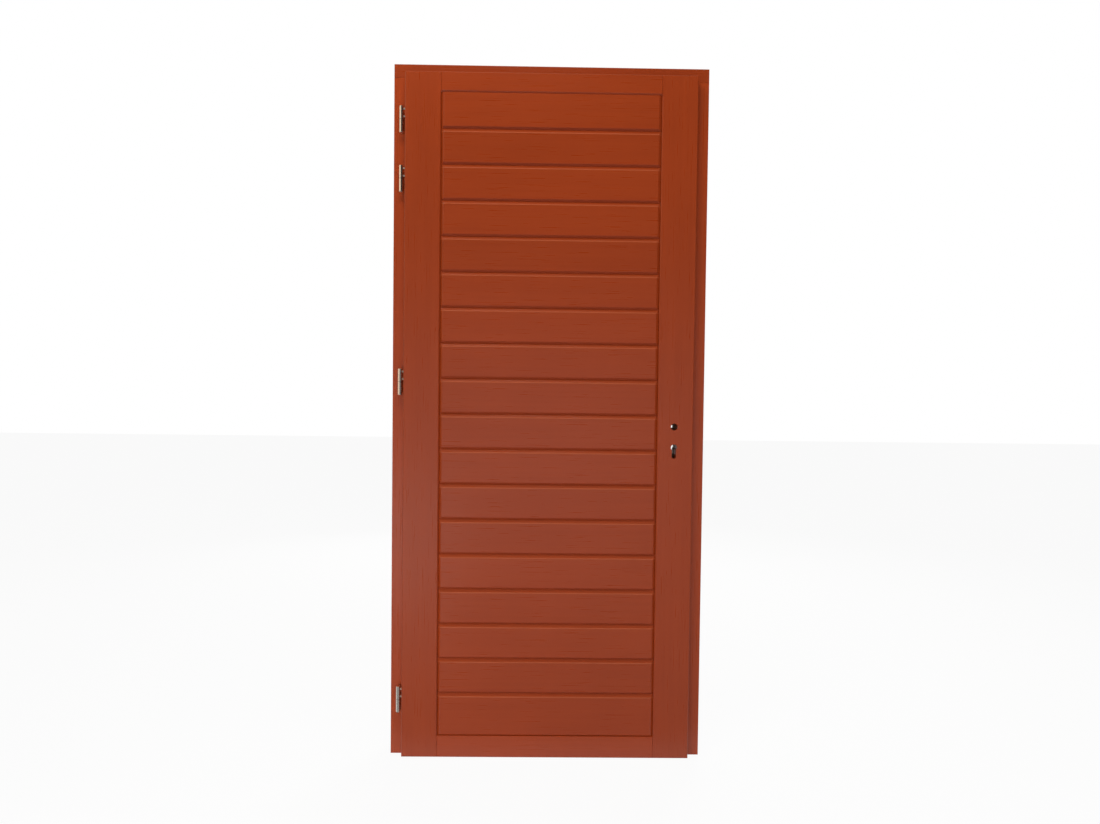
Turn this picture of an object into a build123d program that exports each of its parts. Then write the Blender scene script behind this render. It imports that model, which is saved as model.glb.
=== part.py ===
from build123d import *
import os

os.makedirs("parts", exist_ok=True)

# Wooden front door: a rebated leaf of level boards hung in a four-sided timber frame.
# Millimetres. X runs from the hinge side to the lock side, Z is up, the pull side faces -Y.
# The origin lies on the outer face of the hinge jamb, at floor level, in the middle of its depth.

# Frame
FRAME_WIDTH = 950.0
FRAME_HEIGHT = 2100.0
FRAME_DEPTH = 68.0
JAMB_FACE = 45.0
HEAD_FACE = 41.0
SILL_FACE = 11.0
STOP_WIDTH = 20.0
SILL_STOP_RISE = 15.0
FRAME_ROUND = 2.5

# Leaf
LEAF_THICKNESS = 68.0
LIP_THICKNESS = 25.0
LIP_OVERLAP = 7.0
LEAF_GAP = 5.0
STILE_WIDTH = 108.0
TOP_RAIL_FACE = 60.0
BOTTOM_RAIL_FACE = 66.5
LEAF_ROUND = 3.0
JOINT_BEVEL = 1.0

# Boards
BOARD_COUNT = 18
LAST_BOARD_SHARE = 1.22
UPPER_BEVEL = 10.0
LOWER_BEVEL = 6.0
LEVEL_BEVEL_DEPTH = 6.0
LEVEL_ROUND = 3.0
RAIL_BEVEL = 5.0
RAIL_BEVEL_DEPTH = 4.0
END_BEVEL = 9.0
END_BEVEL_DEPTH = 6.5
STILE_BEVEL = 3.0
STILE_BEVEL_DEPTH = 3.0
TONGUE_THICKNESS = 10.0
TONGUE_LENGTH = 9.0
GROOVE_SLACK = 0.5
TENON_THICKNESS = 16.0
TENON_LENGTH = 14.0

# Hinges
TOP_HINGE_DROP = 138.0
PAIR_SPACING = 176.0
MIDDLE_HINGE_SHARE = 0.553
BOTTOM_HINGE_RISE = 173.0
HINGE_LENGTH = 79.0
HINGE_SPLIT = 1.0
BARREL_RADIUS = 6.5
BARREL_BEVEL = 1.0
AXIS_TO_LIP = 12.0
HINGE_PIN_RADIUS = 4.0
HINGE_PIN_LENGTH = 28.0
HINGE_PIN_CLEARANCE = 0.09
HINGE_BORE_SLACK = 1.5
SCREW_PIN_RADIUS = 3.0
SCREW_PIN_RISE = 31.0

# Lock
BACKSET = 45.0
SPINDLE_HEIGHT = 1017.0
SPINDLE_HOLE_RADIUS = 10.5
CYLINDER_DROP = 62.0
CYLINDER_HOLE_RADIUS = 9.5
CYLINDER_SLOT_WIDTH = 13.0
CYLINDER_HOLE_FOOT = 34.0
CASE_THICKNESS = 15.0
CASE_DEPTH = 55.0
CASE_RISE = 58.0
CASE_DROP = 112.0
FOLLOWER_RADIUS = 9.0
SPINDLE_SQUARE = 8.0
PROFILE_RADIUS = 8.75
PROFILE_SLOT_WIDTH = 10.5
PROFILE_FOOT = 25.0
FOREND_WIDTH = 20.0
FOREND_LENGTH = 235.0
FOREND_THICKNESS = 3.0
BOLT_THICKNESS = 12.0
BOLT_HEIGHT = 30.0
BOLT_LENGTH = 25.0
LATCH_RISE = 23.0
DEAD_BOLT_DROP = 42.0
STRIKE_WIDTH = 22.0
STRIKE_THICKNESS = 2.0
STRIKE_MARGIN = 32.0
KEEP_THICKNESS = 14.0
KEEP_HEIGHT = 34.0
KEEP_DEPTH = 17.0

# Depths, front to back
frame_front = -FRAME_DEPTH / 2
frame_back = FRAME_DEPTH / 2
lip_back = frame_front - LEAF_GAP
leaf_front = lip_back - LIP_THICKNESS
leaf_back = leaf_front + LEAF_THICKNESS
leaf_middle = (leaf_front + leaf_back) / 2
stop_front = leaf_back + LEAF_GAP

# Distances in from the outer face of either jamb
lip_edge = JAMB_FACE - LIP_OVERLAP
body_edge = JAMB_FACE + LEAF_GAP
stop_edge = JAMB_FACE + STOP_WIDTH
stile_inner = lip_edge + STILE_WIDTH

# Heights
head_foot = FRAME_HEIGHT - HEAD_FACE
leaf_top = head_foot + LIP_OVERLAP
body_top = head_foot - LEAF_GAP
leaf_foot = SILL_FACE - LIP_OVERLAP
body_foot = SILL_FACE + LEAF_GAP
panel_top = leaf_top - TOP_RAIL_FACE
panel_foot = leaf_foot + BOTTOM_RAIL_FACE
board_pitch = (panel_top - panel_foot) / (BOARD_COUNT - 1 + LAST_BOARD_SHARE)

# Hinge and lock places
axis_x = lip_edge - AXIS_TO_LIP
axis_y = leaf_front + LIP_THICKNESS / 2
top_hinge = leaf_top - TOP_HINGE_DROP
middle_hinge = leaf_foot + MIDDLE_HINGE_SHARE * (leaf_top - leaf_foot)
hinge_heights = (top_hinge, top_hinge - PAIR_SPACING, middle_hinge, leaf_foot + BOTTOM_HINGE_RISE)
lock_edge = FRAME_WIDTH - body_edge
spindle_x = lock_edge - BACKSET
lock_y = (lip_back + leaf_back) / 2
case_front = lock_y - CASE_THICKNESS / 2
case_outer = lock_edge - FOREND_THICKNESS
case_inner = case_outer - CASE_DEPTH
case_height = CASE_RISE + CASE_DROP
lock_middle = SPINDLE_HEIGHT + (CASE_RISE - CASE_DROP) / 2
cylinder_height = SPINDLE_HEIGHT - CYLINDER_DROP
latch_height = SPINDLE_HEIGHT + LATCH_RISE
dead_bolt_height = SPINDLE_HEIGHT - DEAD_BOLT_DROP
bolt_heights = (latch_height, dead_bolt_height)
bolt_inner = lock_edge - BOLT_LENGTH
strike_face = FRAME_WIDTH - JAMB_FACE
strike_length = latch_height - dead_bolt_height + KEEP_HEIGHT + 2 * STRIKE_MARGIN
strike_middle = (latch_height + dead_bolt_height) / 2


def save(part, name):
    part.label = name
    export_step(part, "parts/" + name + ".step")


def corner(sketch, across, along):
    return sketch.vertices().sort_by_distance((across, along, 0))[0]


def from_side(distance, lock_side):
    if lock_side:
        return FRAME_WIDTH - distance
    return distance


# Frame jambs: a rebate in front, the stop behind it
def jamb_plan(lock_side):
    outer = from_side(0, lock_side)
    face = from_side(JAMB_FACE, lock_side)
    stop = from_side(stop_edge, lock_side)
    return [
        (outer, frame_front),
        (face, frame_front),
        (face, stop_front),
        (stop, stop_front),
        (stop, frame_back),
        (outer, frame_back),
    ]


jamb_top_bevel = [
    (frame_front, head_foot),
    (frame_front + JOINT_BEVEL, head_foot),
    (frame_front, head_foot - JOINT_BEVEL),
]

with BuildPart() as hinge_jamb:
    with BuildSketch() as hinge_jamb_plan:
        Polygon(*jamb_plan(False), align=None)
        fillet(corner(hinge_jamb_plan, JAMB_FACE, frame_front), FRAME_ROUND)
        fillet(corner(hinge_jamb_plan, stop_edge, frame_back), FRAME_ROUND)
    extrude(amount=head_foot)
    with BuildSketch(Plane.YZ):
        Polygon(*jamb_top_bevel, align=None)
    extrude(amount=stop_edge, mode=Mode.SUBTRACT)
save(hinge_jamb.part, "hinge_jamb")

with BuildPart() as lock_jamb:
    with BuildSketch() as lock_jamb_plan:
        Polygon(*jamb_plan(True), align=None)
        fillet(corner(lock_jamb_plan, FRAME_WIDTH - JAMB_FACE, frame_front), FRAME_ROUND)
        fillet(corner(lock_jamb_plan, FRAME_WIDTH - stop_edge, frame_back), FRAME_ROUND)
    extrude(amount=head_foot)
    with BuildSketch(Plane.YZ.offset(FRAME_WIDTH - stop_edge)):
        Polygon(*jamb_top_bevel, align=None)
    extrude(amount=stop_edge, mode=Mode.SUBTRACT)
    with BuildSketch(Plane.YZ.offset(strike_face)):
        with Locations((lock_y, strike_middle)):
            Rectangle(STRIKE_WIDTH, strike_length)
    extrude(amount=STRIKE_THICKNESS, mode=Mode.SUBTRACT)
    with BuildSketch(Plane.YZ.offset(strike_face)):
        with Locations([(lock_y, height) for height in bolt_heights]):
            Rectangle(KEEP_THICKNESS, KEEP_HEIGHT)
    extrude(amount=KEEP_DEPTH, mode=Mode.SUBTRACT)
save(lock_jamb.part, "lock_jamb")

with BuildPart() as strike_plate:
    with BuildSketch(Plane.YZ.offset(strike_face)):
        with Locations((lock_y, strike_middle)):
            Rectangle(STRIKE_WIDTH, strike_length)
        with Locations([(lock_y, height) for height in bolt_heights]):
            Rectangle(KEEP_THICKNESS, KEEP_HEIGHT, mode=Mode.SUBTRACT)
    extrude(amount=STRIKE_THICKNESS)
save(strike_plate.part, "strike_plate")

# Frame head: lies over both jambs, its stop hangs between theirs
with BuildPart() as frame_head:
    with BuildSketch(Plane.YZ) as head_section:
        with Locations((0, (head_foot + FRAME_HEIGHT) / 2)):
            Rectangle(FRAME_DEPTH, HEAD_FACE)
        fillet(corner(head_section, frame_front, FRAME_HEIGHT), FRAME_ROUND)
    extrude(amount=FRAME_WIDTH)
    with BuildSketch(Plane.YZ.offset(stop_edge)):
        with Locations(((stop_front + frame_back) / 2, head_foot - STOP_WIDTH / 2)):
            Rectangle(frame_back - stop_front, STOP_WIDTH)
    extrude(amount=FRAME_WIDTH - 2 * stop_edge)
save(frame_head.part, "frame_head")

# Threshold: low, between the jambs, with the same rebate
with BuildPart() as threshold:
    with BuildSketch():
        Polygon(
            (JAMB_FACE, frame_front),
            (FRAME_WIDTH - JAMB_FACE, frame_front),
            (FRAME_WIDTH - JAMB_FACE, stop_front),
            (JAMB_FACE, stop_front),
            align=None,
        )
    extrude(amount=SILL_FACE)
    with BuildSketch():
        Polygon(
            (stop_edge, stop_front),
            (FRAME_WIDTH - stop_edge, stop_front),
            (FRAME_WIDTH - stop_edge, frame_back),
            (stop_edge, frame_back),
            align=None,
        )
    extrude(amount=SILL_FACE + SILL_STOP_RISE)
save(threshold.part, "threshold")


# Leaf stiles: full height, lipped outside and grooved inside
def stile_plan(lock_side):
    lip = from_side(lip_edge, lock_side)
    body = from_side(body_edge, lock_side)
    inner = from_side(stile_inner, lock_side)
    groove = from_side(stile_inner - TENON_LENGTH, lock_side)
    return [
        (lip, leaf_front),
        (inner, leaf_front),
        (inner, leaf_middle - TENON_THICKNESS / 2),
        (groove, leaf_middle - TENON_THICKNESS / 2),
        (groove, leaf_middle + TENON_THICKNESS / 2),
        (inner, leaf_middle + TENON_THICKNESS / 2),
        (inner, leaf_back),
        (body, leaf_back),
        (body, lip_back),
        (lip, lip_back),
    ]


def stile_bevel(lock_side, face, depth):
    inner = from_side(stile_inner, lock_side)
    bevel = from_side(stile_inner - STILE_BEVEL, lock_side)
    return [(inner, face), (bevel, face), (inner, face + depth)]


# Cylinder opening: a round head over a narrower foot
def cylinder_shape(radius, slot_width, foot):
    slot_length = foot - slot_width / 2
    with Locations((spindle_x, cylinder_height)):
        Circle(radius)
    with Locations((spindle_x, cylinder_height - slot_length / 2)):
        Rectangle(slot_width, slot_length)
    with Locations((spindle_x, cylinder_height - slot_length)):
        Circle(slot_width / 2)


for name, lock_side in (("hinge_stile", False), ("lock_stile", True)):
    with BuildPart() as stile:
        with BuildSketch(Plane.XY.offset(leaf_foot)) as plan:
            Polygon(*stile_plan(lock_side), align=None)
            fillet(corner(plan, from_side(lip_edge, lock_side), leaf_front), LEAF_ROUND)
        extrude(amount=leaf_top - leaf_foot)
        with BuildSketch(Plane.YZ) as side:
            Polygon(
                (leaf_front, leaf_foot),
                (leaf_front, leaf_top),
                (lip_back, leaf_top),
                (lip_back, body_top),
                (leaf_back, body_top),
                (leaf_back, body_foot),
                (lip_back, body_foot),
                (lip_back, leaf_foot),
                align=None,
            )
            fillet(corner(side, leaf_front, leaf_foot), LEAF_ROUND)
            fillet(corner(side, leaf_front, leaf_top), LEAF_ROUND)
        extrude(amount=FRAME_WIDTH, mode=Mode.INTERSECT)
        with BuildSketch(Plane.XY.offset(panel_foot)):
            Polygon(*stile_bevel(lock_side, leaf_front, STILE_BEVEL_DEPTH), align=None)
            Polygon(*stile_bevel(lock_side, leaf_back, -STILE_BEVEL_DEPTH), align=None)
        extrude(amount=panel_top - panel_foot, mode=Mode.SUBTRACT)
        if lock_side:
            with BuildSketch(Plane.YZ.offset(case_inner)):
                with Locations((lock_y, lock_middle)):
                    Rectangle(CASE_THICKNESS, case_height)
            extrude(amount=CASE_DEPTH, mode=Mode.SUBTRACT)
            with BuildSketch(Plane.YZ.offset(case_outer)):
                with Locations((lock_y, lock_middle)):
                    SlotOverall(FOREND_LENGTH, FOREND_WIDTH, rotation=90)
            extrude(amount=FOREND_THICKNESS, mode=Mode.SUBTRACT)
            with BuildSketch(Plane.XZ.offset(-leaf_front)):
                with Locations((spindle_x, SPINDLE_HEIGHT)):
                    Circle(SPINDLE_HOLE_RADIUS)
                cylinder_shape(CYLINDER_HOLE_RADIUS, CYLINDER_SLOT_WIDTH, CYLINDER_HOLE_FOOT)
            extrude(amount=-LEAF_THICKNESS, mode=Mode.SUBTRACT)
    save(stile.part, name)


# Rails and boards share their end tenons
def end_plan(bevel, bevel_depth):
    near = stile_inner
    far = FRAME_WIDTH - stile_inner
    tenon_front = leaf_middle - TENON_THICKNESS / 2
    tenon_back = leaf_middle + TENON_THICKNESS / 2
    return [
        (near + bevel, leaf_front),
        (far - bevel, leaf_front),
        (far, leaf_front + bevel_depth),
        (far, tenon_front),
        (far + TENON_LENGTH, tenon_front),
        (far + TENON_LENGTH, tenon_back),
        (far, tenon_back),
        (far, leaf_back - bevel_depth),
        (far - bevel, leaf_back),
        (near + bevel, leaf_back),
        (near, leaf_back - bevel_depth),
        (near, tenon_back),
        (near - TENON_LENGTH, tenon_back),
        (near - TENON_LENGTH, tenon_front),
        (near, tenon_front),
        (near, leaf_front + bevel_depth),
    ]


def tongued_edge(height, bevel, bevel_depth):
    return [
        (leaf_front, height - bevel),
        (leaf_front + bevel_depth, height),
        (leaf_middle - TONGUE_THICKNESS / 2, height),
        (leaf_middle - TONGUE_THICKNESS / 2, height + TONGUE_LENGTH),
        (leaf_middle + TONGUE_THICKNESS / 2, height + TONGUE_LENGTH),
        (leaf_middle + TONGUE_THICKNESS / 2, height),
        (leaf_back - bevel_depth, height),
        (leaf_back, height - bevel),
    ]


def grooved_edge(height, bevel, bevel_depth):
    groove_top = height + TONGUE_LENGTH + GROOVE_SLACK
    return [
        (leaf_back, height + bevel),
        (leaf_back - bevel_depth, height),
        (leaf_middle + TONGUE_THICKNESS / 2, height),
        (leaf_middle + TONGUE_THICKNESS / 2, groove_top),
        (leaf_middle - TONGUE_THICKNESS / 2, groove_top),
        (leaf_middle - TONGUE_THICKNESS / 2, height),
        (leaf_front + bevel_depth, height),
        (leaf_front, height + bevel),
    ]


with BuildPart() as top_rail:
    with BuildSketch(Plane.YZ) as top_section:
        Polygon(
            *grooved_edge(panel_top, RAIL_BEVEL, RAIL_BEVEL_DEPTH),
            (leaf_front, leaf_top),
            (lip_back, leaf_top),
            (lip_back, body_top),
            (leaf_back, body_top),
            align=None,
        )
        fillet(corner(top_section, leaf_front, leaf_top), LEAF_ROUND)
    extrude(amount=FRAME_WIDTH)
    with BuildSketch(Plane.XY.offset(panel_top)):
        Polygon(*end_plan(JOINT_BEVEL, JOINT_BEVEL), align=None)
    extrude(amount=leaf_top - panel_top, mode=Mode.INTERSECT)
save(top_rail.part, "top_rail")

with BuildPart() as bottom_rail:
    with BuildSketch(Plane.YZ) as bottom_section:
        Polygon(
            *tongued_edge(panel_foot, JOINT_BEVEL, JOINT_BEVEL),
            (leaf_back, body_foot),
            (lip_back, body_foot),
            (lip_back, leaf_foot),
            (leaf_front, leaf_foot),
            align=None,
        )
        fillet(corner(bottom_section, leaf_front, leaf_foot), LEAF_ROUND)
    extrude(amount=FRAME_WIDTH)
    with BuildSketch(Plane.XY.offset(leaf_foot)):
        Polygon(*end_plan(JOINT_BEVEL, JOINT_BEVEL), align=None)
    extrude(amount=panel_foot + TONGUE_LENGTH - leaf_foot, mode=Mode.INTERSECT)
save(bottom_rail.part, "bottom_rail")

# Panel boards, counted from the top. The first has no wide bevel under the top rail,
# and the last is taller and meets the bottom rail with a small one.
for number in range(1, BOARD_COUNT + 1):
    board_top = panel_top - (number - 1) * board_pitch
    board_foot = board_top - board_pitch
    top_edge = tongued_edge(board_top, UPPER_BEVEL, LEVEL_BEVEL_DEPTH)
    foot_edge = grooved_edge(board_foot, LOWER_BEVEL, LEVEL_BEVEL_DEPTH)
    if number == 1:
        top_edge = tongued_edge(board_top, JOINT_BEVEL, JOINT_BEVEL)
    if number == BOARD_COUNT:
        board_foot = panel_foot
        foot_edge = grooved_edge(board_foot, RAIL_BEVEL, RAIL_BEVEL_DEPTH)
    with BuildPart() as board:
        with BuildSketch(Plane.YZ) as board_section:
            Polygon(*top_edge, *foot_edge, align=None)
            if number > 1:
                fillet(corner(board_section, leaf_front, board_top - UPPER_BEVEL), LEVEL_ROUND)
                fillet(corner(board_section, leaf_back, board_top - UPPER_BEVEL), LEVEL_ROUND)
        extrude(amount=FRAME_WIDTH)
        with BuildSketch(Plane.XY.offset(board_foot)):
            Polygon(*end_plan(END_BEVEL, END_BEVEL_DEPTH), align=None)
        extrude(amount=board_top + TONGUE_LENGTH - board_foot, mode=Mode.INTERSECT)
    save(board.part, f"board_{number:02d}")

# Hinges: the leaf knuckle turns on a pin standing in the frame knuckle.
# One screw pin from each knuckle ends at the face of the wood.
knuckle_length = (HINGE_LENGTH - HINGE_SPLIT) / 2
pin_start = BARREL_RADIUS - 1.5
for number, hinge_height in enumerate(hinge_heights, start=1):
    upper_foot = hinge_height + HINGE_SPLIT / 2
    lower_top = hinge_height - HINGE_SPLIT / 2
    with BuildPart() as leaf_knuckle:
        with BuildSketch(Plane.XY.offset(upper_foot)):
            with Locations((axis_x, axis_y)):
                Circle(BARREL_RADIUS)
        extrude(amount=knuckle_length)
        chamfer(leaf_knuckle.edges().group_by(Axis.Z)[-1], BARREL_BEVEL)
        with BuildSketch(Plane.XY.offset(upper_foot)):
            with Locations((axis_x, axis_y)):
                Circle(HINGE_PIN_RADIUS + HINGE_PIN_CLEARANCE)
        extrude(amount=HINGE_PIN_LENGTH + HINGE_BORE_SLACK, mode=Mode.SUBTRACT)
        with BuildSketch(Plane.YZ.offset(axis_x + pin_start)):
            with Locations((axis_y, hinge_height + SCREW_PIN_RISE)):
                Circle(SCREW_PIN_RADIUS)
        extrude(amount=AXIS_TO_LIP - pin_start)
    save(leaf_knuckle.part, f"hinge_leaf_{number}")

    with BuildPart() as frame_knuckle:
        with BuildSketch(Plane.XY.offset(lower_top)):
            with Locations((axis_x, axis_y)):
                Circle(BARREL_RADIUS)
        extrude(amount=-knuckle_length)
        chamfer(frame_knuckle.edges().group_by(Axis.Z)[0], BARREL_BEVEL)
        with BuildSketch(Plane.XY.offset(lower_top)):
            with Locations((axis_x, axis_y)):
                Circle(HINGE_PIN_RADIUS)
        extrude(amount=HINGE_SPLIT + HINGE_PIN_LENGTH)
        with BuildSketch(Plane.XZ.offset(-(axis_y + pin_start))):
            with Locations((axis_x, hinge_height - SCREW_PIN_RISE)):
                Circle(SCREW_PIN_RADIUS)
        extrude(amount=-(frame_front - axis_y - pin_start))
    save(frame_knuckle.part, f"hinge_frame_{number}")

# Mortise lock: case, forend, follower and the two bolts drawn back
with BuildPart() as lock_case:
    with BuildSketch(Plane.YZ.offset(case_inner)):
        with Locations((lock_y, lock_middle)):
            Rectangle(CASE_THICKNESS, case_height)
    extrude(amount=CASE_DEPTH)
    with BuildSketch(Plane.XZ.offset(-case_front)):
        with Locations((spindle_x, SPINDLE_HEIGHT)):
            Circle(FOLLOWER_RADIUS)
    extrude(amount=-CASE_THICKNESS, mode=Mode.SUBTRACT)
    with BuildSketch(Plane.YZ.offset(bolt_inner)):
        with Locations([(lock_y, height) for height in bolt_heights]):
            Rectangle(BOLT_THICKNESS, BOLT_HEIGHT)
    extrude(amount=BOLT_LENGTH, mode=Mode.SUBTRACT)
    with BuildSketch(Plane.XZ.offset(-case_front)):
        cylinder_shape(PROFILE_RADIUS, PROFILE_SLOT_WIDTH, PROFILE_FOOT)
    extrude(amount=-CASE_THICKNESS, mode=Mode.SUBTRACT)
save(lock_case.part, "lock_case")

with BuildPart() as lock_follower:
    with BuildSketch(Plane.XZ.offset(-case_front)):
        with Locations((spindle_x, SPINDLE_HEIGHT)):
            Circle(FOLLOWER_RADIUS)
            Rectangle(SPINDLE_SQUARE, SPINDLE_SQUARE, mode=Mode.SUBTRACT)
    extrude(amount=-CASE_THICKNESS)
save(lock_follower.part, "lock_follower")

with BuildPart() as lock_forend:
    with BuildSketch(Plane.YZ.offset(case_outer)):
        with Locations((lock_y, lock_middle)):
            SlotOverall(FOREND_LENGTH, FOREND_WIDTH, rotation=90)
        with Locations([(lock_y, height) for height in bolt_heights]):
            Rectangle(BOLT_THICKNESS, BOLT_HEIGHT, mode=Mode.SUBTRACT)
    extrude(amount=FOREND_THICKNESS)
save(lock_forend.part, "lock_forend")

for name, height in (("latch_bolt", latch_height), ("dead_bolt", dead_bolt_height)):
    with BuildPart() as bolt:
        with BuildSketch(Plane.YZ.offset(bolt_inner)):
            with Locations((lock_y, height)):
                Rectangle(BOLT_THICKNESS, BOLT_HEIGHT)
        extrude(amount=BOLT_LENGTH)
    save(bolt.part, name)
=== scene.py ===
import math

import bmesh
import bpy
from mathutils import Matrix, Vector


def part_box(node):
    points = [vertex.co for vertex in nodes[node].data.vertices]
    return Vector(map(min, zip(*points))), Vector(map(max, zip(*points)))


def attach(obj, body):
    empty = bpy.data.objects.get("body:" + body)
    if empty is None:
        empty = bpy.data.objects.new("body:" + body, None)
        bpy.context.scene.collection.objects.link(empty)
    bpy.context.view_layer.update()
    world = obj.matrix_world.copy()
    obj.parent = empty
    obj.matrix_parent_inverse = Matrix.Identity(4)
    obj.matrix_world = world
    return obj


# Wooden front door: red-brown stained boards in a lipped leaf, hung in its frame.
# Metres. X runs from the hinge side to the lock side, Z is up, the photographed side faces -Y.

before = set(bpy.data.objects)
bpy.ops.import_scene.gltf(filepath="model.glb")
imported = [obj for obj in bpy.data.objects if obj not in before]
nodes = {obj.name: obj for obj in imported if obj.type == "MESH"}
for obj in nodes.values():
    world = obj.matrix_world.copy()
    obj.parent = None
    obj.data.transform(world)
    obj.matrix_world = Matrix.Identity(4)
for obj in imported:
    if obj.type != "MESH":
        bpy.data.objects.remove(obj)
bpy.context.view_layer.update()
scene = bpy.context.scene

MM = 0.001
RIGHT_ANGLE = math.radians(90.0)
HINGE_COUNT = 4
BOARD_COUNT = 18

# Places read from the frame
leaf_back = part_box("hinge_stile")[1].y
hinge_jamb_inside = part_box("hinge_jamb")[1].x
lock_jamb_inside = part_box("lock_jamb")[0].x
head_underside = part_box("frame_head")[0].z
sill_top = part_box("threshold")[1].z
panel_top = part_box("top_rail")[0].z
board_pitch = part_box("board_02")[0].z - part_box("board_03")[0].z
forend_low, forend_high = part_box("lock_forend")
strike_low, strike_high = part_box("strike_plate")

# Camera as the photograph was taken, with its turns in degrees
PHOTO_WIDTH = 1100
FOCAL_PIXELS = 653
SENSOR_WIDTH = 36.0
CAMERA_PLACE = (0.4585, -2.028, 1.106)
CAMERA_YAW = -0.61
CAMERA_PITCH = -1.39
CAMERA_ROLL = 0.66

# Material tools, in which place is where a new node lies on the sheet
VECTOR = "NodeSocketVector"
COLOR = "NodeSocketColor"
VALUE = "NodeSocketFloat"
FADE_IN = (0.0, 1.0)
FADE_OUT = (1.0, 0.0)


def new_material(name):
    material = bpy.data.materials.new(name)
    material.use_nodes = True
    tree = material.node_tree
    return material, tree, tree.nodes["Principled BSDF"]


def add_node(tree, kind, place):
    node = tree.nodes.new(kind)
    node.location = place
    return node


def feed(tree, value, socket):
    """Link an output to the socket, or set the socket to a plain number or colour."""
    if isinstance(value, bpy.types.NodeSocket):
        tree.links.new(value, socket)
    else:
        socket.default_value = value


def add_math(tree, operation, values, place):
    node = add_node(tree, "ShaderNodeMath", place)
    node.operation = operation
    for value, socket in zip(values, node.inputs):
        feed(tree, value, socket)
    return node.outputs["Value"]


def add_range(tree, value, from_range, to_range, place):
    node = add_node(tree, "ShaderNodeMapRange", place)
    node.inputs["From Min"].default_value = from_range[0]
    node.inputs["From Max"].default_value = from_range[1]
    node.inputs["To Min"].default_value = to_range[0]
    node.inputs["To Max"].default_value = to_range[1]
    tree.links.new(value, node.inputs["Value"])
    return node.outputs["Result"]


def add_noise(tree, vector, noise, place):
    """A noise is given as its scale and its detail."""
    node = add_node(tree, "ShaderNodeTexNoise", place)
    node.inputs["Scale"].default_value = noise[0]
    node.inputs["Detail"].default_value = noise[1]
    tree.links.new(vector, node.inputs["Vector"])
    return node.outputs["Fac"]


def add_mix(tree, share, first, second, place):
    """The first colour where the share is 0, the second where it is 1."""
    node = add_node(tree, "ShaderNodeMix", place)
    node.data_type = "RGBA"
    feed(tree, share, node.inputs["Factor"])
    feed(tree, first, node.inputs["A"])
    feed(tree, second, node.inputs["B"])
    return node.outputs["Result"]


def add_tone(tree, color, brightness, place):
    """The colour made brighter or darker."""
    node = add_node(tree, "ShaderNodeVectorMath", place)
    node.operation = "SCALE"
    tree.links.new(color, node.inputs[0])
    tree.links.new(brightness, node.inputs["Scale"])
    return node.outputs["Vector"]


def object_points(tree, place):
    return add_node(tree, "ShaderNodeTexCoord", place).outputs["Object"]


def add_stretch(tree, vector, scale, place):
    node = add_node(tree, "ShaderNodeMapping", place)
    node.inputs["Scale"].default_value = scale
    tree.links.new(vector, node.inputs["Vector"])
    return node.outputs["Vector"]


def add_axes(tree, vector, place):
    """The vector's parts, by the names X, Y and Z."""
    node = add_node(tree, "ShaderNodeSeparateXYZ", place)
    tree.links.new(vector, node.inputs["Vector"])
    return node.outputs


def add_bump(tree, height, relief, place):
    """A relief is given as its strength and its depth."""
    node = add_node(tree, "ShaderNodeBump", place)
    node.inputs["Strength"].default_value = relief[0]
    node.inputs["Distance"].default_value = relief[1]
    tree.links.new(height, node.inputs["Height"])
    return node.outputs["Normal"]


def new_group(name, inputs, outputs):
    group = bpy.data.node_groups.new(name, "ShaderNodeTree")
    for socket, kind in inputs:
        group.interface.new_socket(socket, in_out="INPUT", socket_type=kind)
    for socket, kind in outputs:
        group.interface.new_socket(socket, in_out="OUTPUT", socket_type=kind)
    entry = add_node(group, "NodeGroupInput", (-900, 0)).outputs
    result = add_node(group, "NodeGroupOutput", (900, 0)).inputs
    return group, entry, result


def add_group(tree, group, place):
    node = add_node(tree, "ShaderNodeGroup", place)
    node.node_tree = group
    return node


# Satin stain over straight-grained softwood: fine growth lines, pores and slow changes of tone
LINE_NOISE = (1.0, 4.0)
PORE_NOISE = (4.0, 3.0)
MOTTLE_NOISE = (4.0, 2.0)
LINE_SPAN = (0.35, 0.70)
NOISE_SPAN = (0.3, 0.7)
SLIGHT_TONE = (0.97, 1.03)
SATIN_GLOSS = (0.26, 0.36)


def build_stain_group():
    group, entry, result = new_group(
        "stained_grain",
        [
            ("Grain Place", VECTOR),
            ("Surface Place", VECTOR),
            ("Light Stain", COLOR),
            ("Dark Stain", COLOR),
            ("Piece Tone", VALUE),
        ],
        [("Color", COLOR), ("Roughness", VALUE), ("Height", VALUE)],
    )
    lines = add_noise(group, entry["Grain Place"], LINE_NOISE, (-650, 250))
    pores = add_noise(group, entry["Grain Place"], PORE_NOISE, (-650, -50))
    mottle = add_noise(group, entry["Surface Place"], MOTTLE_NOISE, (-650, -350))
    line_mask = add_range(group, lines, LINE_SPAN, FADE_IN, (-400, 250))
    tone = add_range(group, mottle, NOISE_SPAN, SLIGHT_TONE, (-400, -350))
    brightness = add_math(group, "MULTIPLY", (tone, entry["Piece Tone"]), (-150, -300))
    stain = add_mix(group, line_mask, entry["Light Stain"], entry["Dark Stain"], (-150, 250))
    toned = add_tone(group, stain, brightness, (150, 200))
    gloss = add_range(group, pores, NOISE_SPAN, SATIN_GLOSS, (150, -100))
    relief = add_math(group, "ADD", (lines, pores), (150, -400))
    group.links.new(toned, result["Color"])
    group.links.new(gloss, result["Roughness"])
    group.links.new(relief, result["Height"])
    return group


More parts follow.
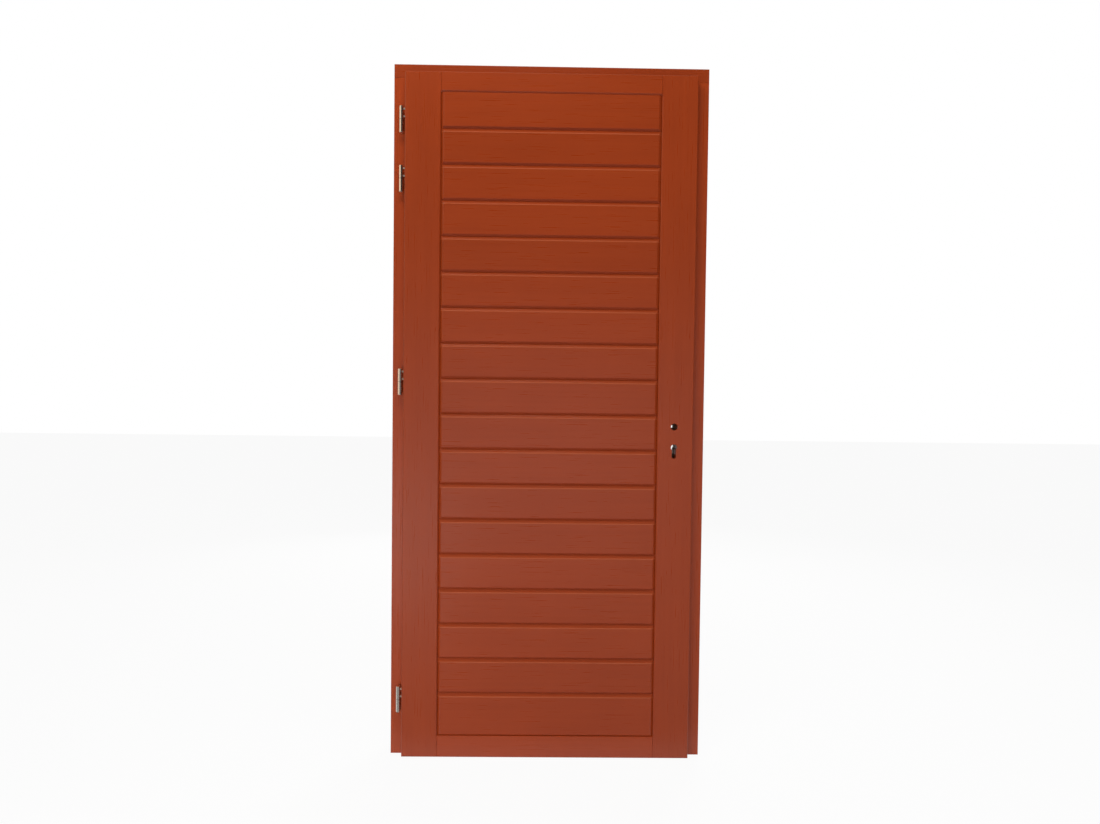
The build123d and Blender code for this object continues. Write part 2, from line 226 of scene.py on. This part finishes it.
stain_group = build_stain_group()
ALONG_GRAIN = 2.0
ACROSS_GRAIN = 90.0
UPRIGHT_GRAIN = (ACROSS_GRAIN, ACROSS_GRAIN, ALONG_GRAIN)
LEVEL_GRAIN = (ALONG_GRAIN, ACROSS_GRAIN, ACROSS_GRAIN)
LIGHT_STAIN = (0.302, 0.0400, 0.0066, 1.0)
DARK_STAIN = (0.284, 0.0362, 0.0056, 1.0)
WOOD_RELIEF = (0.07, 0.3 * MM)
PLAIN_TONE = 1.0
# Stain made brighter on the jambs: painted light standing in for more light on the frame
JAMB_PAINTED_LIGHT = 1.18
# Stain made brighter on the threshold and bottom rail: painted light standing in for more light near
# the floor
FOOT_PAINTED_LIGHT = 1.10


def lay_stain(name, grain, tone):
    """The stained material, with the nodes that the boards build on."""
    material, tree, shader = new_material(name)
    points = object_points(tree, (-1500, 0))
    stretched = add_stretch(tree, points, grain, (-1250, 150))
    wood = add_group(tree, stain_group, (-600, 0))
    wood.inputs["Light Stain"].default_value = LIGHT_STAIN
    wood.inputs["Dark Stain"].default_value = DARK_STAIN
    wood.inputs["Piece Tone"].default_value = tone
    tree.links.new(stretched, wood.inputs["Grain Place"])
    tree.links.new(points, wood.inputs["Surface Place"])
    normal = add_bump(tree, wood.outputs["Height"], WOOD_RELIEF, (-150, -250))
    tree.links.new(wood.outputs["Color"], shader.inputs["Base Color"])
    tree.links.new(wood.outputs["Roughness"], shader.inputs["Roughness"])
    tree.links.new(normal, shader.inputs["Normal"])
    return material, tree, shader, points, wood


def stained_wood(name, grain, tone):
    return lay_stain(name, grain, tone)[0]


# Boards: each its own tone, a painted highlight along the upper arris, painted shade on the lower bevel
# of each joint, which is also duller
# Painted highlight colour for the upper arris of each board
ARRIS_PAINTED_HIGHLIGHT = (0.400, 0.0850, 0.0300, 1.0)
ARRIS_DROP = 10.0 * MM
ARRIS_WIDTH = 2.2 * MM
# Painted shade colour for the lower bevel at each joint
JOINT_PAINTED_SHADE = (0.254, 0.0300, 0.0034, 1.0)
JOINT_DULL = 0.40
JOINT_RISE = 6.5 * MM
JOINT_FADE = 1.5 * MM
LAST_BOARD_END = BOARD_COUNT - 0.001


def stained_boards(name):
    """Counts the boards down from the top rail; the taller last board stays one board."""
    material, tree, shader, points, wood = lay_stain(name, LEVEL_GRAIN, PLAIN_TONE)
    axes = add_axes(tree, points, (-1250, -250))
    drop = add_math(tree, "SUBTRACT", (panel_top, axes["Z"]), (-1050, -250))
    steps = add_math(tree, "DIVIDE", (drop, board_pitch), (-900, -250))
    count = add_math(tree, "MINIMUM", (steps, LAST_BOARD_END), (-800, -250))

    # Tone of each board
    board = add_math(tree, "FLOOR", [count], (-750, -350))
    chance = add_node(tree, "ShaderNodeTexWhiteNoise", (-600, -350))
    chance.noise_dimensions = "1D"
    tree.links.new(board, chance.inputs["W"])
    tone = add_range(tree, chance.outputs["Value"], FADE_IN, SLIGHT_TONE, (-450, -350))
    tree.links.new(tone, wood.inputs["Piece Tone"])

    # Painted highlight along the upper arris
    part = add_math(tree, "FRACT", [count], (-750, -500))
    depth = add_math(tree, "MULTIPLY", (part, board_pitch), (-600, -500))
    away = add_math(tree, "SUBTRACT", (depth, ARRIS_DROP), (-450, -500))
    distance = add_math(tree, "ABSOLUTE", [away], (-300, -500))
    line = add_range(tree, distance, (0.0, ARRIS_WIDTH), FADE_OUT, (-150, -500))
    below_first = add_math(tree, "GREATER_THAN", (count, 1.0), (-300, -650))
    arris = add_math(tree, "MULTIPLY", (line, below_first), (0, -500))
    painted_highlight = add_mix(tree, arris, wood.outputs["Color"], ARRIS_PAINTED_HIGHLIGHT, (-250, 100))

    # Painted shade on the lower bevel at each board's foot, which is also made duller
    fade = (board_pitch - JOINT_RISE - JOINT_FADE, board_pitch - JOINT_RISE)
    foot = add_range(tree, depth, fade, FADE_IN, (-450, -800))
    above_last = add_math(tree, "LESS_THAN", (count, BOARD_COUNT - 1), (-450, -1050))
    joint = add_math(tree, "MULTIPLY", (foot, above_last), (-250, -800))
    painted_shade = add_mix(tree, joint, painted_highlight, JOINT_PAINTED_SHADE, (-50, 100))
    dull = add_math(tree, "MULTIPLY", (joint, JOINT_DULL), (-100, -800))
    rough = add_math(tree, "ADD", (wood.outputs["Roughness"], dull), (50, -800))
    tree.links.new(painted_shade, shader.inputs["Base Color"])
    tree.links.new(rough, shader.inputs["Roughness"])
    return material


# Plated metal: fine turning or rolling lines and dull patches
BRUSH_NOISE = (1.0, 2.0)
BRUSH_TONE = (0.93, 1.05)
BRUSH_DULL = (-0.05, 0.07)


def build_metal_group():
    group, entry, result = new_group(
        "brushed_plate",
        [("Line Place", VECTOR), ("Plate", COLOR), ("Dull", VALUE)],
        [("Color", COLOR), ("Roughness", VALUE), ("Height", VALUE)],
    )
    brush = add_noise(group, entry["Line Place"], BRUSH_NOISE, (-650, 200))
    bright = add_range(group, brush, NOISE_SPAN, BRUSH_TONE, (-400, 200))
    toned = add_tone(group, entry["Plate"], bright, (-100, 200))
    change = add_range(group, brush, NOISE_SPAN, BRUSH_DULL, (-400, -100))
    rough = add_math(group, "ADD", (change, entry["Dull"]), (-100, -100))
    group.links.new(toned, result["Color"])
    group.links.new(rough, result["Roughness"])
    group.links.new(brush, result["Height"])
    return group


metal_group = build_metal_group()
TURNED_LINES = (120.0, 120.0, 3500.0)
ROLLED_LINES = (2500.0, 2500.0, 150.0)
METAL_RELIEF = (0.06, 0.1 * MM)


def plated_metal(name, color, dull, line_scale):
    material, tree, shader = new_material(name)
    points = object_points(tree, (-900, 0))
    stretched = add_stretch(tree, points, line_scale, (-700, 0))
    plate = add_group(tree, metal_group, (-450, 0))
    plate.inputs["Plate"].default_value = color
    plate.inputs["Dull"].default_value = dull
    tree.links.new(stretched, plate.inputs["Line Place"])
    normal = add_bump(tree, plate.outputs["Height"], METAL_RELIEF, (-200, -200))
    tree.links.new(plate.outputs["Color"], shader.inputs["Base Color"])
    tree.links.new(plate.outputs["Roughness"], shader.inputs["Roughness"])
    tree.links.new(normal, shader.inputs["Normal"])
    shader.inputs["Metallic"].default_value = 1.0
    return material


# Seal rubber and washer nylon: dull, with a fine grain
MOULD_NOISE = (900.0, 2.0)
MOULD_RELIEF = (0.15, 0.1 * MM)


def build_mould_group():
    group, entry, result = new_group(
        "moulded_grain",
        [("Surface Place", VECTOR), ("Dark", COLOR), ("Light", COLOR)],
        [("Color", COLOR), ("Height", VALUE)],
    )
    grain = add_noise(group, entry["Surface Place"], MOULD_NOISE, (-650, 0))
    blend = add_mix(group, grain, entry["Dark"], entry["Light"], (-400, 100))
    group.links.new(blend, result["Color"])
    group.links.new(grain, result["Height"])
    return group


mould_group = build_mould_group()


def moulded_plastic(name, dark, light, roughness):
    material, tree, shader = new_material(name)
    points = object_points(tree, (-900, 0))
    mould = add_group(tree, mould_group, (-450, 0))
    mould.inputs["Dark"].default_value = dark
    mould.inputs["Light"].default_value = light
    tree.links.new(points, mould.inputs["Surface Place"])
    normal = add_bump(tree, mould.outputs["Height"], MOULD_RELIEF, (-200, -200))
    tree.links.new(mould.outputs["Color"], shader.inputs["Base Color"])
    tree.links.new(normal, shader.inputs["Normal"])
    shader.inputs["Roughness"].default_value = roughness
    return material


# Finishes, and the CAD nodes that wear them
NICKEL = (0.92, 0.86, 0.78, 1.0)
ZINC = (0.55, 0.55, 0.53, 1.0)
BROWN_STEEL = (0.27, 0.22, 0.16, 1.0)
DARK_RUBBER = (0.018, 0.012, 0.010, 1.0)
LIGHT_RUBBER = (0.035, 0.026, 0.022, 1.0)
DARK_NYLON = (0.03, 0.03, 0.03, 1.0)
LIGHT_NYLON = (0.05, 0.05, 0.05, 1.0)

jamb_wood = stained_wood("stained_jamb", UPRIGHT_GRAIN, JAMB_PAINTED_LIGHT)
stile_wood = stained_wood("stained_stile", UPRIGHT_GRAIN, PLAIN_TONE)
rail_wood = stained_wood("stained_rail", LEVEL_GRAIN, PLAIN_TONE)
foot_wood = stained_wood("stained_foot", LEVEL_GRAIN, FOOT_PAINTED_LIGHT)
board_wood = stained_boards("stained_boards")
nickel = plated_metal("nickel_plate", NICKEL, dull=0.28, line_scale=TURNED_LINES)
zinc = plated_metal("zinc_plate", ZINC, dull=0.38, line_scale=ROLLED_LINES)
case_steel = plated_metal("case_steel", BROWN_STEEL, dull=0.46, line_scale=ROLLED_LINES)
seal_rubber = moulded_plastic("seal_rubber", DARK_RUBBER, LIGHT_RUBBER, roughness=0.6)
washer_nylon = moulded_plastic("washer_nylon", DARK_NYLON, LIGHT_NYLON, roughness=0.45)


def dress(node_name, material):
    mesh = nodes[node_name].data
    mesh.materials.clear()
    mesh.materials.append(material)


for name in ("hinge_jamb", "lock_jamb"):
    dress(name, jamb_wood)
for name in ("hinge_stile", "lock_stile"):
    dress(name, stile_wood)
for name in ("frame_head", "top_rail"):
    dress(name, rail_wood)
for name in ("threshold", "bottom_rail"):
    dress(name, foot_wood)
for number in range(1, BOARD_COUNT + 1):
    dress(f"board_{number:02d}", board_wood)
for number in range(1, HINGE_COUNT + 1):
    dress(f"hinge_leaf_{number}", nickel)
    dress(f"hinge_frame_{number}", nickel)
for name in ("lock_case", "lock_follower"):
    dress(name, case_steel)
for name in ("lock_forend", "latch_bolt", "dead_bolt", "strike_plate"):
    dress(name, zinc)


# New pieces, each shaped in edit mode from a primitive
ROD_SIDES = 40
SMOOTH_ANGLE = math.radians(40.0)


def clear_selection():
    bpy.ops.object.select_all(action="DESELECT")


def choose(piece, kind, wanted):
    """Select, in edit mode, the faces or edges that wanted() is true for."""
    bpy.ops.mesh.select_mode(type=kind)
    bpy.ops.mesh.select_all(action="DESELECT")
    shape = bmesh.from_edit_mesh(piece.data)
    elements = shape.faces if kind == "FACE" else shape.edges
    for element in elements:
        element.select_set(wanted(element))
    bmesh.update_edit_mesh(piece.data)


def smooth_piece(piece):
    clear_selection()
    piece.select_set(True)
    bpy.context.view_layer.objects.active = piece
    bpy.ops.object.shade_smooth_by_angle(angle=SMOOTH_ANGLE)


def place_copy(model, place, name, material, body):
    """A copy with its own mesh, placed in the mesh, that rides on a body."""
    piece = model.copy()
    piece.data = model.data.copy()
    piece.data.transform(place)
    piece.name = name
    piece.data.name = name
    piece.data.materials.clear()
    piece.data.materials.append(material)
    scene.collection.objects.link(piece)
    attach(piece, body)
    return piece


# Lock screws: raised countersunk heads with a cross recess, modelled facing +Z
SCREW_RADIUS = 3.8 * MM
SCREW_SUNK = 0.4 * MM
SCREW_PROUD = 0.5 * MM
SCREW_DOME = 0.8 * SCREW_PROUD
SCREW_DOME_STEPS = 4
RECESS_WIDTH = 1.0 * MM
RECESS_ARM = 1.5 * MM
RECESS_DEPTH = 0.7 * MM
RECESS_TAPER = 0.6
FACING_DOWN = -0.9
FOREND_SCREW_IN = 12.0 * MM
STRIKE_SCREW_IN = 16.0 * MM


def recess_cutter():
    """A cross that narrows downwards."""
    clear_selection()
    bpy.ops.mesh.primitive_cube_add(size=RECESS_WIDTH)
    cutter = bpy.context.object
    bpy.ops.object.mode_set(mode="EDIT")
    half = RECESS_WIDTH / 2
    near = half / 10
    for side in (Vector((1, 0, 0)), Vector((-1, 0, 0)), Vector((0, 1, 0)), Vector((0, -1, 0))):
        middle = side * half
        choose(cutter, "FACE", lambda face: (face.calc_center_median() - middle).length < near)
        bpy.ops.mesh.extrude_region_move(TRANSFORM_OT_translate={"value": side * RECESS_ARM})
    choose(cutter, "FACE", lambda face: face.normal.z < FACING_DOWN)
    bpy.ops.transform.resize(value=(RECESS_TAPER, RECESS_TAPER, 1.0), center_override=(0.0, 0.0, -half))
    bpy.ops.mesh.select_all(action="SELECT")
    bpy.ops.transform.translate(value=(0.0, 0.0, SCREW_PROUD - RECESS_DEPTH + half))
    bpy.ops.object.mode_set(mode="OBJECT")
    return cutter


def screw_head():
    cutter = recess_cutter()
    clear_selection()
    bpy.ops.mesh.primitive_cylinder_add(
        vertices=ROD_SIDES,
        radius=SCREW_RADIUS,
        depth=SCREW_PROUD + SCREW_SUNK,
        location=(0.0, 0.0, (SCREW_PROUD - SCREW_SUNK) / 2),
    )
    head = bpy.context.object
    bpy.ops.object.transform_apply(location=True, rotation=True, scale=True)
    bpy.ops.object.mode_set(mode="EDIT")
    choose(head, "EDGE", lambda edge: min(vertex.co.z for vertex in edge.verts) > SCREW_PROUD / 2)
    bpy.ops.mesh.bevel(offset=SCREW_DOME, segments=SCREW_DOME_STEPS)
    bpy.ops.object.mode_set(mode="OBJECT")
    cut = head.modifiers.new("cross_recess", "BOOLEAN")
    cut.operation = "DIFFERENCE"
    cut.object = cutter
    bpy.ops.object.modifier_apply(modifier=cut.name)
    bpy.data.objects.remove(cutter)
    smooth_piece(head)
    return head


def lock_screws():
    model = screw_head()
    middle = (forend_low.y + forend_high.y) / 2
    outwards = Matrix.Rotation(RIGHT_ANGLE, 4, "Y")
    inwards = Matrix.Rotation(-RIGHT_ANGLE, 4, "Y")
    forend_heights = (forend_low.z + FOREND_SCREW_IN, forend_high.z - FOREND_SCREW_IN)
    strike_heights = (strike_low.z + STRIKE_SCREW_IN, strike_high.z - STRIKE_SCREW_IN)
    for number, height in enumerate(forend_heights, start=1):
        place = Matrix.Translation((forend_high.x, middle, height)) @ outwards
        place_copy(model, place, f"forend_screw_{number}", zinc, "leaf")
    for number, height in enumerate(strike_heights, start=1):
        place = Matrix.Translation((strike_low.x, middle, height)) @ inwards
        place_copy(model, place, f"strike_screw_{number}", zinc, "frame")
    bpy.data.objects.remove(model)


# Hinges: a second screw arm from each leaf knuckle, and a nylon washer between the knuckles
ARM_RADIUS = 3.0 * MM
ARM_RISE = 8.0 * MM
ARM_INTO_BARREL = 1.5 * MM
ARM_BEVEL = 0.5 * MM
ARM_BEVEL_STEPS = 3
WASHER_SIDES = 48
WASHER_INNER = 4.3 * MM
WASHER_OUTER = 6.2 * MM
WASHER_HEIGHT = 0.8 * MM
WASHER_RIM = WASHER_HEIGHT / 5
WASHER_RIM_STEPS = 2
HINGE_SPLIT = 1.0 * MM


def arm_model(length):
    """A rod along X from the origin, its outer end bevelled."""
    clear_selection()
    bpy.ops.mesh.primitive_cylinder_add(
        vertices=ROD_SIDES,
        radius=ARM_RADIUS,
        depth=length,
        location=(length / 2, 0.0, 0.0),
        rotation=(0.0, RIGHT_ANGLE, 0.0),
    )
    arm = bpy.context.object
    bpy.ops.object.transform_apply(location=True, rotation=True, scale=True)
    bpy.ops.object.mode_set(mode="EDIT")
    choose(arm, "EDGE", lambda edge: min(vertex.co.x for vertex in edge.verts) > length / 2)
    bpy.ops.mesh.bevel(offset=ARM_BEVEL, segments=ARM_BEVEL_STEPS)
    bpy.ops.object.mode_set(mode="OBJECT")
    smooth_piece(arm)
    return arm


def washer_model():
    """A flat ring with a rounded rim, its middle at the origin."""
    clear_selection()
    bpy.ops.mesh.primitive_circle_add(vertices=WASHER_SIDES, radius=WASHER_INNER)
    washer = bpy.context.object
    bpy.ops.object.mode_set(mode="EDIT")
    bpy.ops.mesh.select_all(action="SELECT")
    bpy.ops.mesh.extrude_edges_move()
    widen = WASHER_OUTER / WASHER_INNER
    bpy.ops.transform.resize(value=(widen, widen, 1.0), center_override=(0.0, 0.0, 0.0))
    bpy.ops.mesh.select_all(action="SELECT")
    bpy.ops.mesh.extrude_region_move(TRANSFORM_OT_translate={"value": (0.0, 0.0, WASHER_HEIGHT)})
    bpy.ops.mesh.select_all(action="SELECT")
    bpy.ops.transform.translate(value=(0.0, 0.0, -WASHER_HEIGHT / 2))
    bpy.ops.mesh.normals_make_consistent(inside=False)
    reach = (WASHER_INNER + WASHER_OUTER) / 2
    choose(washer, "EDGE", lambda edge: min(vertex.co.xy.length for vertex in edge.verts) > reach)
    bpy.ops.mesh.bevel(offset=WASHER_RIM, segments=WASHER_RIM_STEPS)
    bpy.ops.object.mode_set(mode="OBJECT")
    smooth_piece(washer)
    return washer


def hinge_details():
    low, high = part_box("hinge_leaf_1")
    barrel = (high.y - low.y) / 2
    arm = arm_model(high.x - low.x - 2 * barrel + ARM_INTO_BARREL)
    washer = washer_model()
    for number in range(1, HINGE_COUNT + 1):
        low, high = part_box(f"hinge_leaf_{number}")
        axis_x = low.x + barrel
        axis_y = low.y + barrel
        arm_place = Matrix.Translation((axis_x + barrel - ARM_INTO_BARREL, axis_y, low.z + ARM_RISE))
        place_copy(arm, arm_place, f"hinge_arm_{number}", nickel, "leaf")
        split = Matrix.Translation((axis_x, axis_y, low.z - HINGE_SPLIT / 2))
        place_copy(washer, split, f"hinge_washer_{number}", washer_nylon, "frame")
    bpy.data.objects.remove(arm)
    bpy.data.objects.remove(washer)


# Rebate seals: a soft rubber bead on the stop, all the way round
SEAL_SIDES = 32
SEAL_WIDTH = 8.0 * MM
SEAL_HEIGHT = 3.6 * MM
LEAF_GAP = 5.0 * MM
STOP_MIDDLE = 10.0 * MM
SILL_STOP_MIDDLE = 7.5 * MM


def seal_model(length):
    """A rounded bead, flat side on the plane y = 0, that runs up Z from the origin."""
    clear_selection()
    bpy.ops.mesh.primitive_circle_add(vertices=SEAL_SIDES, radius=SEAL_WIDTH / 2, fill_type="NGON")
    seal = bpy.context.object
    bpy.ops.object.mode_set(mode="EDIT")
    bpy.ops.mesh.select_all(action="SELECT")
    bpy.ops.mesh.bisect(plane_co=(0.0, 0.0, 0.0), plane_no=(0.0, 1.0, 0.0), clear_outer=True)
    bpy.ops.mesh.select_all(action="SELECT")
    rise = SEAL_HEIGHT / (SEAL_WIDTH / 2)
    bpy.ops.transform.resize(value=(1.0, rise, 1.0), center_override=(0.0, 0.0, 0.0))
    bpy.ops.mesh.extrude_region_move(TRANSFORM_OT_translate={"value": (0.0, 0.0, length)})
    bpy.ops.mesh.select_all(action="SELECT")
    bpy.ops.mesh.normals_make_consistent(inside=False)
    bpy.ops.object.mode_set(mode="OBJECT")
    smooth_piece(seal)
    return seal


def rebate_seals():
    stop_front = leaf_back + LEAF_GAP
    hinge_x = hinge_jamb_inside - STOP_MIDDLE
    lock_x = lock_jamb_inside + STOP_MIDDLE
    head_z = head_underside + STOP_MIDDLE
    sill_z = sill_top - SILL_STOP_MIDDLE
    upright = seal_model(head_z + SEAL_WIDTH / 2 - sill_top)
    level = seal_model(lock_x - hinge_x - SEAL_WIDTH)
    lie = Matrix.Rotation(RIGHT_ANGLE, 4, "Y")
    for name, across in (("seal_hinge_side", hinge_x), ("seal_lock_side", lock_x)):
        place = Matrix.Translation((across, stop_front, sill_top))
        place_copy(upright, place, name, seal_rubber, "frame")
    for name, height in (("seal_head", head_z), ("seal_sill", sill_z)):
        place = Matrix.Translation((hinge_x + SEAL_WIDTH / 2, stop_front, height)) @ lie
        place_copy(level, place, name, seal_rubber, "frame")
    bpy.data.objects.remove(upright)
    bpy.data.objects.remove(level)


lock_screws()
hinge_details()
rebate_seals()


# Studio floor: nearly plain white to the camera, the rest of its share keeping the door's shadow.
# In gloss it is pale close to the door and greyer farther off.
FLOOR_SIZE = 30.0
FLOOR_CENTRE = (0.475, 0.0, 0.0)
FLOOR_TONE = (0.80, 0.80, 0.79, 1.0)
FLOOR_DULL = 0.9
FLOOR_WHITE = 0.94
FLOOR_CLOSE = 0.80
FLOOR_FAR = 0.28
FLOOR_SPAN = (0.10, 0.22)


def seen_rays(tree, place):
    """Two masks: one for the camera's rays, one for those mirrored in gloss or sent through glass."""
    path = add_node(tree, "ShaderNodeLightPath", place).outputs
    passed_on = (path["Is Glossy Ray"], path["Is Transmission Ray"])
    mirrored = add_math(tree, "MAXIMUM", passed_on, (place[0] + 200, place[1] - 100))
    return path["Is Camera Ray"], mirrored


def pale_floor():
    clear_selection()
    bpy.ops.mesh.primitive_plane_add(size=FLOOR_SIZE, location=FLOOR_CENTRE)
    floor = bpy.context.object
    floor.name = "studio_floor"
    bpy.ops.object.transform_apply(location=True, rotation=True, scale=True)
    material, tree, shader = new_material("pale_floor")
    shader.inputs["Base Color"].default_value = FLOOR_TONE
    shader.inputs["Roughness"].default_value = FLOOR_DULL
    camera, mirrored = seen_rays(tree, (-600, 300))
    axes = add_axes(tree, object_points(tree, (-1100, 0)), (-900, 0))
    away = add_math(tree, "ABSOLUTE", [axes["Y"]], (-700, 0))
    pale = add_range(tree, away, FLOOR_SPAN, (FLOOR_CLOSE, FLOOR_FAR), (-500, 0))
    glossy = add_math(tree, "MULTIPLY", (mirrored, pale), (-150, 0))
    bright = add_math(tree, "MAXIMUM", (camera, glossy), (0, 0))
    direct = add_math(tree, "MULTIPLY", (camera, FLOOR_WHITE), (-150, 300))
    share = add_math(tree, "MAXIMUM", (direct, mirrored), (50, 300))
    glow = add_node(tree, "ShaderNodeEmission", (150, -300))
    mix = add_node(tree, "ShaderNodeMixShader", (350, 100))
    tree.links.new(bright, glow.inputs["Strength"])
    tree.links.new(share, mix.inputs["Fac"])
    tree.links.new(shader.outputs["BSDF"], mix.inputs[1])
    tree.links.new(glow.outputs["Emission"], mix.inputs[2])
    tree.links.new(mix.outputs["Shader"], tree.nodes["Material Output"].inputs["Surface"])
    floor.data.materials.append(material)


# Studio surroundings: strengths of light, and spans of direction over which one fades to another
WHITE = (1.0, 1.0, 1.0, 1.0)
SOFT_LIGHT = 0.18
ROOM_LOW = 0.46
ROOM_HIGH = 0.02
ROOM_RISE = (-0.02, 0.16)
DARK_SHARE = 0.08
DARK_SIDE = (0.26, 0.44)
WALL_TONE = (1.0, 0.74, 0.54, 1.0)
WALL_SIDE = (-0.42, -0.26)
WALL_TOP = (0.45, 0.75)
WALL_END = (0.20, 0.50)
CEILING_LIGHT = 0.46
CEILING_EDGE = (0.55, 0.75)


def white_world():
    """White to the camera, soft to diffuse light. Gloss and metal see a warm wall on the left, a
    warm ceiling, and a room behind the camera that is pale near the floor and dark on the right."""
    world = bpy.data.worlds.new("studio_world")
    scene.world = world
    world.use_nodes = True
    tree = world.node_tree
    tree.nodes.clear()
    direction = add_node(tree, "ShaderNodeTexCoord", (-900, -200)).outputs["Generated"]
    axes = add_axes(tree, direction, (-700, -200))
    camera, mirrored = seen_rays(tree, (-700, 200))

    # Room behind the camera
    height = add_range(tree, axes["Z"], ROOM_RISE, (ROOM_LOW, ROOM_HIGH), (-500, -200))
    aside = add_range(tree, axes["X"], DARK_SIDE, (1.0, DARK_SHARE), (-500, 50))
    behind = add_math(tree, "MULTIPLY", (height, aside), (-350, -100))

    # Warm wall and ceiling
    beside = add_range(tree, axes["X"], WALL_SIDE, FADE_OUT, (-500, -450))
    low = add_range(tree, axes["Z"], WALL_TOP, FADE_OUT, (-500, -700))
    ahead = add_range(tree, axes["Y"], WALL_END, FADE_OUT, (-500, -950))
    limit = add_math(tree, "MULTIPLY", (low, ahead), (-300, -700))
    wall = add_math(tree, "MULTIPLY", (beside, limit), (-300, -500))
    ceiling = add_range(tree, axes["Z"], CEILING_EDGE, FADE_IN, (-500, -1200))
    above = add_math(tree, "MULTIPLY", (ceiling, CEILING_LIGHT), (-300, -1200))
    painted = add_math(tree, "MAXIMUM", (wall, ceiling), (-100, 200))
    warm = add_math(tree, "MULTIPLY", (painted, mirrored), (50, 200))
    tint = add_mix(tree, warm, WHITE, WALL_TONE, (250, 200))

    # Strength for each kind of ray
    sides = add_math(tree, "MAXIMUM", (behind, wall), (-300, -300))
    room = add_math(tree, "MAXIMUM", (sides, above), (-200, -300))
    dim = add_math(tree, "SUBTRACT", (room, SOFT_LIGHT), (-250, -200))
    glossy = add_math(tree, "MULTIPLY", (dim, mirrored), (-100, -100))
    other = add_math(tree, "ADD", (glossy, SOFT_LIGHT), (50, -100))
    strength = add_math(tree, "MAXIMUM", (camera, other), (250, 0))
    light = add_node(tree, "ShaderNodeBackground", (500, 0))
    output = add_node(tree, "ShaderNodeOutputWorld", (700, 0))
    tree.links.new(tint, light.inputs["Color"])
    tree.links.new(strength, light.inputs["Strength"])
    tree.links.new(light.outputs["Background"], output.inputs["Surface"])


def soft_lamp(name, place, target, size, power):
    """A lamp that faces its target and isn't mirrored in gloss."""
    lamp = bpy.data.lights.new(name, "AREA")
    lamp.shape = "RECTANGLE"
    lamp.size = size[0]
    lamp.size_y = size[1]
    lamp.energy = power
    holder = bpy.data.objects.new(name, lamp)
    holder.visible_glossy = False
    scene.collection.objects.link(holder)
    aim = Vector(target) - Vector(place)
    holder.matrix_world = Matrix.Translation(place) @ aim.to_track_quat("-Z", "Y").to_matrix().to_4x4()


def studio_lamps():
    soft_lamp("upper_lamp", (0.0, -1.15, 3.3), target=(0.45, 0.0, 1.2), size=(1.6, 0.6), power=33.5)
    soft_lamp("front_lamp", (0.35, -3.3, 0.6), target=(0.45, 0.0, 0.7), size=(2.6, 1.0), power=20.0)
    soft_lamp("right_lamp", (2.2, -1.4, 1.4), target=(0.90, 0.0, 1.1), size=(0.8, 1.6), power=8.5)
    soft_lamp("low_lamp", (-0.55, -1.5, 0.30), target=(0.45, 0.0, 0.25), size=(0.9, 0.3), power=9.5)
    soft_lamp("back_lamp", (1.6, 2.6, 2.4), target=(0.45, 0.0, 1.1), size=(1.8, 1.2), power=60.0)
    soft_lamp("back_fill_lamp", (-0.6, 3.3, 1.2), target=(0.45, 0.0, 1.0), size=(2.2, 1.0), power=25.0)


def photo_camera():
    lens = bpy.data.cameras.new("photo_camera")
    lens.sensor_fit = "HORIZONTAL"
    lens.sensor_width = SENSOR_WIDTH
    lens.lens = FOCAL_PIXELS / PHOTO_WIDTH * SENSOR_WIDTH
    camera = bpy.data.objects.new("photo_camera", lens)
    scene.collection.objects.link(camera)
    turn = Matrix.Rotation(math.radians(CAMERA_YAW), 4, "Z")
    tip = Matrix.Rotation(RIGHT_ANGLE + math.radians(CAMERA_PITCH), 4, "X")
    roll = Matrix.Rotation(math.radians(CAMERA_ROLL), 4, "Z")
    camera.matrix_world = Matrix.Translation(CAMERA_PLACE) @ turn @ tip @ roll
    scene.camera = camera


pale_floor()
white_world()
studio_lamps()
photo_camera()
scene.view_settings.view_transform = "Standard"
